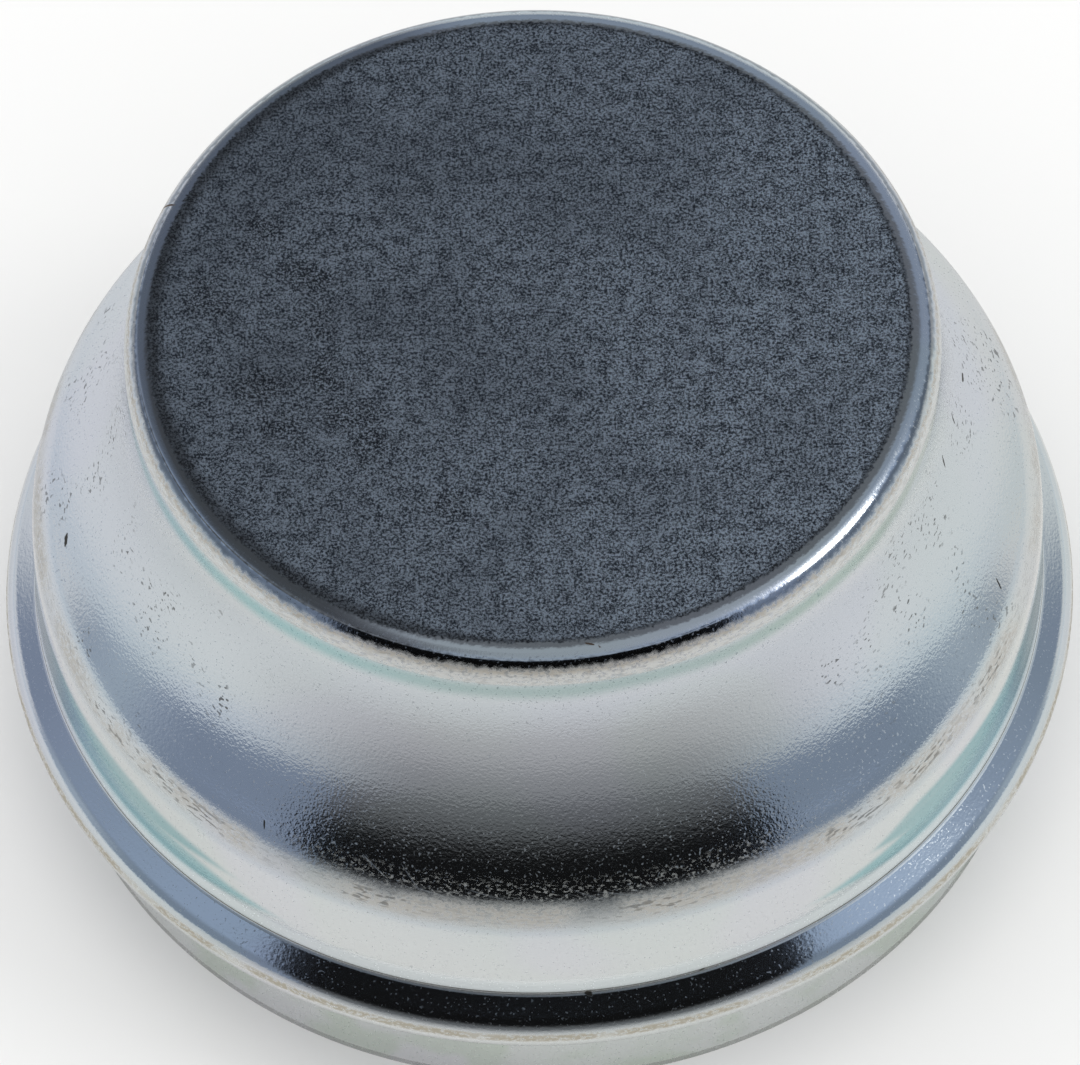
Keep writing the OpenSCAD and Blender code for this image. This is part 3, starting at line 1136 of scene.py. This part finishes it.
def pale_floor(stage):
    """Plain pale floor; the plate mirrors it a little darker, most so far in front, where this
    is painted shadow, and lighter close to the cap, which is painted light.
    """
    material = bpy.data.materials.new("pale_floor")
    material.use_nodes = True
    tree = material.node_tree
    tree.nodes.clear()
    spot = tree.nodes.new("ShaderNodeTexCoord").outputs["Object"]
    turn = turn_about(tree, add(tree, "ShaderNodeSeparateXYZ", spot).outputs)
    away = vector(tree, "LENGTH", spot)
    # Painted light close to the cap, only where the plate mirrors the floor
    mirrored = blend(tree, ease(tree, away, 0.031, 0.041), FLOOR_CLOSE, FLOOR_ROUND)
    mirrored = blend(tree, ease(tree, away, 0.05, 0.20), mirrored, FLOOR_FAR)
    # Painted shadow in front of the cap, only where the plate mirrors the floor
    ahead = blend(tree, ease(tree, away, 0.04, 0.12), AHEAD_CLOSE, AHEAD_ROUND)
    ahead = blend(tree, ease(tree, away, 0.12, 0.50), ahead, AHEAD_FAR)
    in_front = sums(tree, "MULTIPLY", ease(tree, away, 0.036, 0.060),
                    window(tree, turn, *AHEAD))
    mirrored = blend(tree, in_front, mirrored, ahead)
    shown = add(tree, "ShaderNodeBsdfDiffuse", (*stage.floor, 1.0))
    glossy = add(tree, "ShaderNodeBsdfDiffuse", mirrored)
    path = tree.nodes.new("ShaderNodeLightPath").outputs
    seen = add(tree, "ShaderNodeMixShader", path["Is Glossy Ray"], shown.outputs[0],
               glossy.outputs[0])
    out = tree.nodes.new("ShaderNodeOutputMaterial")
    wire(tree, seen.outputs[0], out.inputs[0])
    return material


def round_floor(stage):
    """A wide flat disc for the cap to stand on."""
    mesh = bpy.data.meshes.new("floor")
    angles = [2 * PI * i / FLOOR_SIDES for i in range(FLOOR_SIDES)]
    rim = [(FLOOR_REACH * math.cos(a), FLOOR_REACH * math.sin(a), 0.0) for a in angles]
    mesh.from_pydata(rim, [], [list(range(FLOOR_SIDES))])
    mesh.materials.append(pale_floor(stage))
    floor = bpy.data.objects.new("floor", mesh)
    bpy.context.scene.collection.objects.link(floor)
    return floor


def key_light():
    """A round soft light, high on the right, that faces the cap and isn't seen itself."""
    turn, height, distance = math.radians(83.0), math.radians(45.0), 1.2
    light = bpy.data.lights.new("key", "AREA")
    light.shape = "DISK"
    light.size = 0.38
    light.energy = 1.45
    light.color = (1.0, 0.99, 0.97)
    lamp = bpy.data.objects.new("key", light)
    way = Vector((math.sin(turn) * math.cos(height), -math.cos(turn) * math.cos(height),
                  math.sin(height)))
    lamp.location = way * distance
    lamp.rotation_euler = way.to_track_quat("Z", "Y").to_euler()
    lamp.visible_camera = False
    bpy.context.scene.collection.objects.link(lamp)


def photo_camera(stage):
    """The photograph's camera, at its angle, distance and framing."""
    back = Vector((0, -math.cos(stage.pitch), math.sin(stage.pitch)))
    side = Vector((1, 0, 0))
    rise = back.cross(side)
    c, s = math.cos(stage.roll), math.sin(stage.roll)
    x_axis = side * c + rise * s
    y_axis = rise * c - side * s
    lens = bpy.data.cameras.new("view")
    lens.sensor_width = SENSOR_W
    lens.lens = FOCAL_PX * SENSOR_W / PHOTO_W
    lens.shift_x = (PHOTO_W / 2 - CENTRE_X) / PHOTO_W
    lens.shift_y = (CENTRE_Y - PHOTO_H / 2) / PHOTO_W
    camera = bpy.data.objects.new("view", lens)
    place = Matrix((x_axis, y_axis, back)).transposed().to_4x4()
    place.translation = Vector((0.0, 0.0, AIM_HEIGHT)) + back * stage.distance
    camera.matrix_world = place
    bpy.context.scene.collection.objects.link(camera)
    return camera


class CAP_OT_stage(bpy.types.Operator):
    """Set up the floor, the soft light and the camera"""

    bl_idname = "grease_cap.stage"
    bl_label = "Stage"
    bl_options = {"REGISTER", "UNDO"}

    def execute(self, context):
        scene = context.scene
        scene.camera = photo_camera(scene.cap_stage)
        round_floor(scene.cap_stage)
        scene.world = bpy.data.worlds.new("surround")
        surround(scene.world)
        key_light()
        scene.view_settings.view_transform = "Standard"
        return {"FINISHED"}


class CAP_PT_panel(bpy.types.Panel):
    """Lists the cap's operators and values"""

    bl_idname = "CAP_PT_panel"
    bl_label = "Hub Grease Cap"
    bl_space_type = "VIEW_3D"
    bl_region_type = "UI"
    bl_category = "Grease Cap"

    def draw(self, context):
        layout = self.layout
        for operator in (CAP_OT_stage, CAP_OT_sheet):
            layout.operator(operator.bl_idname)
        for group in (context.scene.cap_sizes, context.scene.cap_finish,
                      context.scene.cap_stage):
            box = layout.box()
            for name in group.__annotations__:
                box.prop(group, name)


CLASSES = (CapSizes, CapFinish, CapStage, CAP_OT_stage, CAP_OT_sheet, CAP_PT_panel)


def register():
    for entry in CLASSES:
        bpy.utils.register_class(entry)
    bpy.types.Scene.cap_sizes = bpy.props.PointerProperty(type=CapSizes)
    bpy.types.Scene.cap_finish = bpy.props.PointerProperty(type=CapFinish)
    bpy.types.Scene.cap_stage = bpy.props.PointerProperty(type=CapStage)


def unregister():
    del bpy.types.Scene.cap_sizes, bpy.types.Scene.cap_finish, bpy.types.Scene.cap_stage
    for entry in reversed(CLASSES):
        bpy.utils.unregister_class(entry)


def main():
    register()
    bpy.ops.grease_cap.stage()
    bpy.ops.grease_cap.sheet()


if __name__ == "__main__":
    main()
